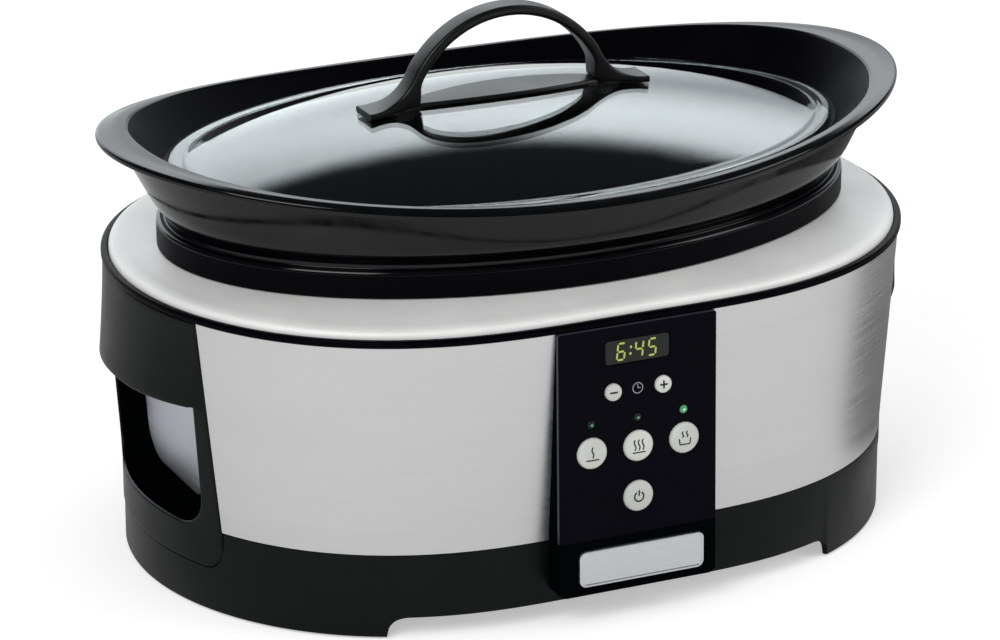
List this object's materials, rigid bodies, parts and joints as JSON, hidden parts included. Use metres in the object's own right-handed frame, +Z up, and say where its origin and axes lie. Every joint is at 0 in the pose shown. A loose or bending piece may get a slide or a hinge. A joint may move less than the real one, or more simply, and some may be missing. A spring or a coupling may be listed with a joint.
{
  "type": "slow cooker",
  "caption": "Oval countertop slow cooker: steel-walled heating base with a front control panel and end handles, lift-out stoneware crock and a domed glass lid with an arched handle.",
  "frame": {"origin": "on the standing surface, under the middle of the oval housing; the panel and its buttons stand a little further out than the rear does, so the bounding box's middle is 2.9 mm towards the front of it", "axes": "+X along the long side, +Y towards the back with the control panel facing -Y, +Z up"},
  "size_m": [0.434, 0.3123, 0.278],
  "materials": {
    "base_plastic": "moulded, fine texture, black",
    "galvanised_floor": "plain sheet, dull",
    "wall_steel": "brushed along its length",
    "deck_steel": "fine satin",
    "trim_plastic": "moulded, half gloss, black",
    "well_aluminium": "drawn sheet, dull",
    "heater_wrap": "foil over a woven heating band",
    "sensor_brass": "turned",
    "fixing_steel": "zinc plated",
    "handle_plastic": "moulded, satin, black",
    "pocket_steel": "satin sheet",
    "circuit_board": "lacquered board, green",
    "terminal_plastic": "moulded, off white",
    "gland_rubber": "moulded, black",
    "foot_rubber": "moulded, dark grey",
    "panel_plastic": "moulded, satin, black",
    "fascia_gloss": "polished, blue black",
    "display_pane": "clear pane over a green yellow display",
    "display_case": "moulded, dark grey",
    "badge_aluminium": "brushed, bare",
    "lens_green": "clear moulded, green",
    "button_plastic": "moulded, light grey",
    "crock_glaze": "glossy black glaze",
    "lid_glass": "pressed clear glass",
    "lid_handle_plastic": "moulded, satin, black",
    "washer_silicone": "moulded silicone"
  },
  "bodies": {
    "base": {"base_skirt": "base_plastic", "floor_plate": "galvanised_floor", "foot_pad_1": "foot_rubber", "foot_pad_2": "foot_rubber", "foot_pad_3": "foot_rubber", "foot_pad_4": "foot_rubber", "base_screw_1": "fixing_steel", "base_screw_2": "fixing_steel", "base_screw_3": "fixing_steel", "base_screw_4": "fixing_steel", "steel_wall_front": "wall_steel", "steel_wall_rear": "wall_steel", "trim_ring": "trim_plastic", "deck_plate": "deck_steel", "heating_well": "well_aluminium", "heater_band": "heater_wrap", "heat_sensor": "sensor_brass", "tie_bolt": "fixing_steel", "end_handle_left": "handle_plastic", "end_handle_right": "handle_plastic", "pocket_plate_left": "pocket_steel", "pocket_plate_right": "pocket_steel", "power_board": "circuit_board", "terminal_block": "terminal_plastic", "cord_gland": "gland_rubber", "panel_housing": "panel_plastic", "panel_fascia": "fascia_gloss", "display_window": "display_pane", "display_module": "display_case", "control_board": "circuit_board", "badge_plate": "badge_aluminium", "lens_low": "lens_green", "lens_high": "lens_green", "lens_warm": "lens_green"},
    "crock": {"crock": "crock_glaze"},
    "lid": {"lid_glass": "lid_glass", "lid_handle": "lid_handle_plastic", "lid_screw_left": "fixing_steel", "lid_screw_right": "fixing_steel", "lid_washer_left": "washer_silicone", "lid_washer_right": "washer_silicone"},
    "button_low": {"button_low": "button_plastic"},
    "button_high": {"button_high": "button_plastic"},
    "button_warm": {"button_warm": "button_plastic"},
    "button_power": {"button_power": "button_plastic"},
    "button_minus": {"button_minus": "button_plastic"},
    "button_plus": {"button_plus": "button_plastic"}
  },
  "joints": [
    {"name": "crock_lift", "type": "slide", "parent": "base", "child": "crock", "axis": [0, 0, 1], "range_m": [0, 0.16]},
    {"name": "lid_lift", "type": "slide", "parent": "crock", "child": "lid", "axis": [0, 0, 1], "range_m": [0, 0.08]},
    {"name": "low_press", "type": "slide", "parent": "base", "child": "button_low", "axis": [0, 0.9997, -0.025], "range_m": [0, 0.0012], "stiffness_N_per_m": 1500},
    {"name": "high_press", "type": "slide", "parent": "base", "child": "button_high", "axis": [0, 0.9997, -0.025], "range_m": [0, 0.0012], "stiffness_N_per_m": 1500},
    {"name": "warm_press", "type": "slide", "parent": "base", "child": "button_warm", "axis": [0, 0.9997, -0.025], "range_m": [0, 0.0012], "stiffness_N_per_m": 1500},
    {"name": "power_press", "type": "slide", "parent": "base", "child": "button_power", "axis": [0, 0.9997, -0.025], "range_m": [0, 0.0012], "stiffness_N_per_m": 1500},
    {"name": "minus_press", "type": "slide", "parent": "base", "child": "button_minus", "axis": [0, 0.9997, -0.025], "range_m": [0, 0.0012], "stiffness_N_per_m": 1500},
    {"name": "plus_press", "type": "slide", "parent": "base", "child": "button_plus", "axis": [0, 0.9997, -0.025], "range_m": [0, 0.0012], "stiffness_N_per_m": 1500}
  ]
}
